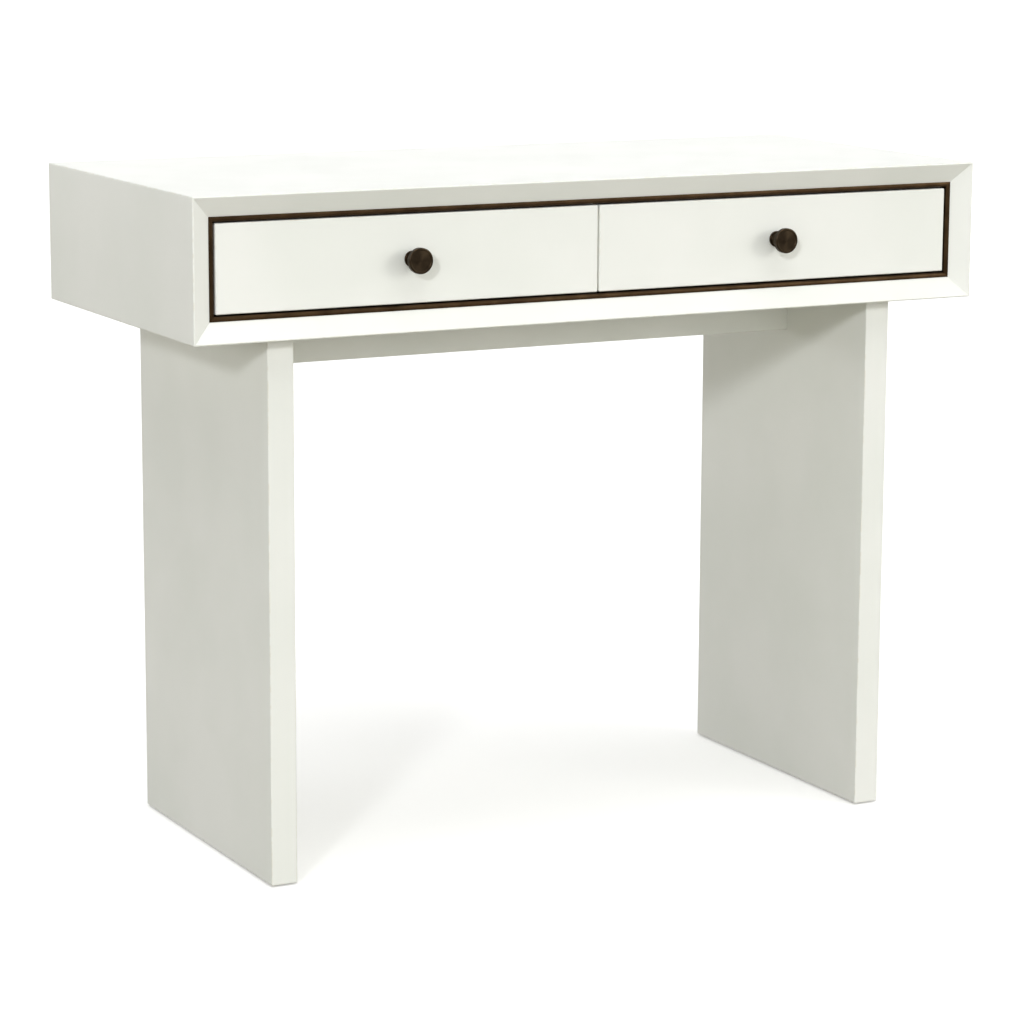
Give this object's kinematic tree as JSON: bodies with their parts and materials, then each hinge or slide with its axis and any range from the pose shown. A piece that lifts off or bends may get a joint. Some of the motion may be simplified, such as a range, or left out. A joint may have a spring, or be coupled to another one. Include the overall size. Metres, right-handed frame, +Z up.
{
  "type": "console table",
  "caption": "White lacquered console table with a bevelled case, bronze-trimmed drawers with round knobs, and slab legs tied by a rail.",
  "frame": {"origin": "on the floor, under the middle of the closed table's box, knobs included", "axes": "+X to the table's right as seen from the front, +Y to the back, +Z up"},
  "size_m": [1.016, 0.465, 0.796],
  "materials": {
    "white_lacquer": "smooth semi-gloss white lacquer on fibreboard",
    "bronze": "dark patinated bronze, finely brushed",
    "maple": "clear-lacquered maple boards",
    "birch_ply": "sanded birch plywood",
    "beech": "turned beech",
    "zinc_steel": "zinc-plated steel",
    "bright_steel": "polished bearing steel",
    "cage_plastic": "moulded acetal",
    "nylon": "moulded nylon"
  },
  "bodies": {
    "case_and_base": {"top_panel": "white_lacquer", "bottom_panel": "white_lacquer", "left_end_panel": "white_lacquer", "right_end_panel": "white_lacquer", "mitre_splines": "birch_ply", "back_panel": "white_lacquer", "back_panel_screws": "zinc_steel", "centre_divider": "white_lacquer", "trim_top": "bronze", "trim_bottom": "bronze", "trim_left": "bronze", "trim_right": "bronze", "left_leg": "white_lacquer", "right_leg": "white_lacquer", "leg_bolts": "zinc_steel", "leg_bolt_washers": "zinc_steel", "leg_bolt_inserts": "bright_steel", "stretcher_rail": "white_lacquer", "rail_dowels": "beech", "rail_screws": "zinc_steel", "floor_glides": "nylon", "left_slide_spacer": "birch_ply", "right_slide_spacer": "birch_ply", "left_slide_outer_rails": "zinc_steel", "right_slide_outer_rails": "zinc_steel", "case_slide_screws": "zinc_steel"},
    "left_drawer": {"left_drawer_front": "white_lacquer", "left_knob": "bronze", "left_knob_screw": "zinc_steel", "left_box_front": "maple", "left_box_outer_side": "maple", "left_box_inner_side": "maple", "left_box_back": "maple", "left_box_bottom": "birch_ply", "left_box_screws": "zinc_steel", "left_drawer_slide_screws": "zinc_steel", "left_slide_inner_rails": "zinc_steel"},
    "left_slide_middle": {"left_slide_middle_rails": "zinc_steel"},
    "left_outer_cages": {"left_slide_outer_cages": "cage_plastic", "left_slide_outer_balls": "bright_steel"},
    "left_inner_cages": {"left_slide_inner_cages": "cage_plastic", "left_slide_inner_balls": "bright_steel"},
    "right_drawer": {"right_drawer_front": "white_lacquer", "right_knob": "bronze", "right_knob_screw": "zinc_steel", "right_box_front": "maple", "right_box_outer_side": "maple", "right_box_inner_side": "maple", "right_box_back": "maple", "right_box_bottom": "birch_ply", "right_box_screws": "zinc_steel", "right_drawer_slide_screws": "zinc_steel", "right_slide_inner_rails": "zinc_steel"},
    "right_slide_middle": {"right_slide_middle_rails": "zinc_steel"},
    "right_outer_cages": {"right_slide_outer_cages": "cage_plastic", "right_slide_outer_balls": "bright_steel"},
    "right_inner_cages": {"right_slide_inner_cages": "cage_plastic", "right_slide_inner_balls": "bright_steel"}
  },
  "joints": [
    {"name": "left_drawer_slide", "type": "slide", "parent": "case_and_base", "child": "left_drawer", "axis": [0, -1, 0], "range_m": [0, 0.4]},
    {"name": "left_slide_middle_slide", "type": "slide", "parent": "case_and_base", "child": "left_slide_middle", "axis": [0, -1, 0], "range_m": [0, 0.2]},
    {"name": "left_outer_cages_slide", "type": "slide", "parent": "case_and_base", "child": "left_outer_cages", "axis": [0, -1, 0], "range_m": [0, 0.1]},
    {"name": "left_inner_cages_slide", "type": "slide", "parent": "case_and_base", "child": "left_inner_cages", "axis": [0, -1, 0], "range_m": [0, 0.3]},
    {"name": "right_drawer_slide", "type": "slide", "parent": "case_and_base", "child": "right_drawer", "axis": [0, -1, 0], "range_m": [0, 0.4]},
    {"name": "right_slide_middle_slide", "type": "slide", "parent": "case_and_base", "child": "right_slide_middle", "axis": [0, -1, 0], "range_m": [0, 0.2]},
    {"name": "right_outer_cages_slide", "type": "slide", "parent": "case_and_base", "child": "right_outer_cages", "axis": [0, -1, 0], "range_m": [0, 0.1]},
    {"name": "right_inner_cages_slide", "type": "slide", "parent": "case_and_base", "child": "right_inner_cages", "axis": [0, -1, 0], "range_m": [0, 0.3]}
  ],
  "couplings": [
    {"joint": "left_slide_middle_slide", "follows": "left_drawer_slide", "ratio": 0.5},
    {"joint": "left_outer_cages_slide", "follows": "left_drawer_slide", "ratio": 0.25},
    {"joint": "left_inner_cages_slide", "follows": "left_drawer_slide", "ratio": 0.75},
    {"joint": "right_slide_middle_slide", "follows": "right_drawer_slide", "ratio": 0.5},
    {"joint": "right_outer_cages_slide", "follows": "right_drawer_slide", "ratio": 0.25},
    {"joint": "right_inner_cages_slide", "follows": "right_drawer_slide", "ratio": 0.75}
  ]
}
